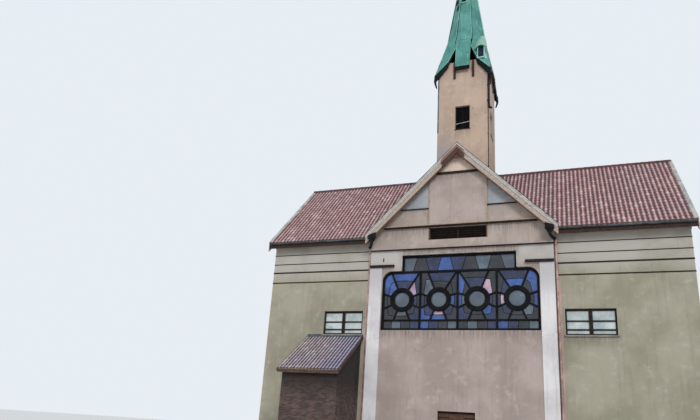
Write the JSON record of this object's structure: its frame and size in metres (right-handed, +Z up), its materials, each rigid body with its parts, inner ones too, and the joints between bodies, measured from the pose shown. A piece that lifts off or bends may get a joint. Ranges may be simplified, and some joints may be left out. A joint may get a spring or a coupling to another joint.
{
  "type": "modern church building",
  "caption": "Rendered church with a tall front gable, wide stained-glass window, crossing tiled roofs, square ridge turret, green copper spire and a brick lean-to.",
  "frame": {"origin": "ground level under the crossing of the two roof ridges, on the underside of the floor slab", "axes": "+Z up, -Y out of the front gable, +X to the right as seen from the front"},
  "size_m": [22.0006, 13.7906, 34.27],
  "materials": {
    "render": "matt pinkish beige render, dusty and streaked",
    "tower_render": "matt warm beige render",
    "concrete": "plain worn concrete",
    "brick": "dark red-brown brick in dusty mortar",
    "roof_tiles": "weathered red clay tiles",
    "annex_tiles": "weathered grey-purple clay tiles",
    "board_paint": "painted boards, rusty at the edges",
    "dark_paint": "dark stained wood",
    "door_wood": "dark oiled wood",
    "lead": "near-black bars",
    "stained_glass": "blue, navy, grey and pink panes",
    "pale_glass": "pale panes that mirror the sky",
    "copper": "green copper patina, satin",
    "dark_metal": "dark weathered iron",
    "pipe_metal": "pinkish painted sheet metal"
  },
  "bodies": {
    "root": {"floor_slab": "concrete", "annex_floor": "concrete", "front_wall_lower_left": "render", "front_wall_lower_right": "render", "front_door_lintel_wall": "render", "front_gable_wall": "render", "rear_wall_lower": "render", "rear_gable_wall": "render", "left_wing_front_wall_lower": "render", "left_wing_front_wall_upper": "render", "right_wing_front_wall_lower": "render", "right_wing_front_wall_upper": "render", "left_wing_rear_wall_lower": "render", "left_wing_rear_wall_upper": "render", "right_wing_rear_wall_lower": "render", "right_wing_rear_wall_upper": "render", "left_wing_end_wall": "render", "right_wing_end_wall": "render", "front_gable_roof": "roof_tiles", "rear_gable_roof": "roof_tiles", "left_wing_roof": "roof_tiles", "right_wing_roof": "roof_tiles", "front_barge_board": "board_paint", "rear_barge_board": "board_paint", "left_wing_barge_board": "board_paint", "right_wing_barge_board": "board_paint", "gable_ledge": "dark_paint", "front_string_course": "render", "left_pier_cap": "dark_paint", "right_pier_cap": "dark_paint", "gable_bay": "render", "gable_left_panel": "render", "gable_right_panel": "render", "gable_bay_string": "dark_paint", "gable_bay_head": "render", "gable_louvre": "dark_paint", "front_window_tracery": "lead", "rear_window_tracery": "lead", "front_window_glass": "stained_glass", "rear_window_glass": "stained_glass", "left_wing_front_window": "pale_glass", "right_wing_front_window": "pale_glass", "left_wing_rear_window": "pale_glass", "right_wing_rear_window": "pale_glass", "front_door_left_leaf": "door_wood", "front_door_right_leaf": "door_wood", "tower_front_wall": "tower_render", "tower_rear_wall": "tower_render", "tower_left_wall": "tower_render", "tower_right_wall": "tower_render", "spire": "copper", "spire_cross": "dark_metal", "annex_front_wall": "brick", "annex_left_wall": "brick", "annex_right_wall": "brick", "annex_roof": "annex_tiles", "annex_fascia": "board_paint", "left_downpipe": "pipe_metal", "right_downpipe": "pipe_metal"}
  },
  "joints": []
}
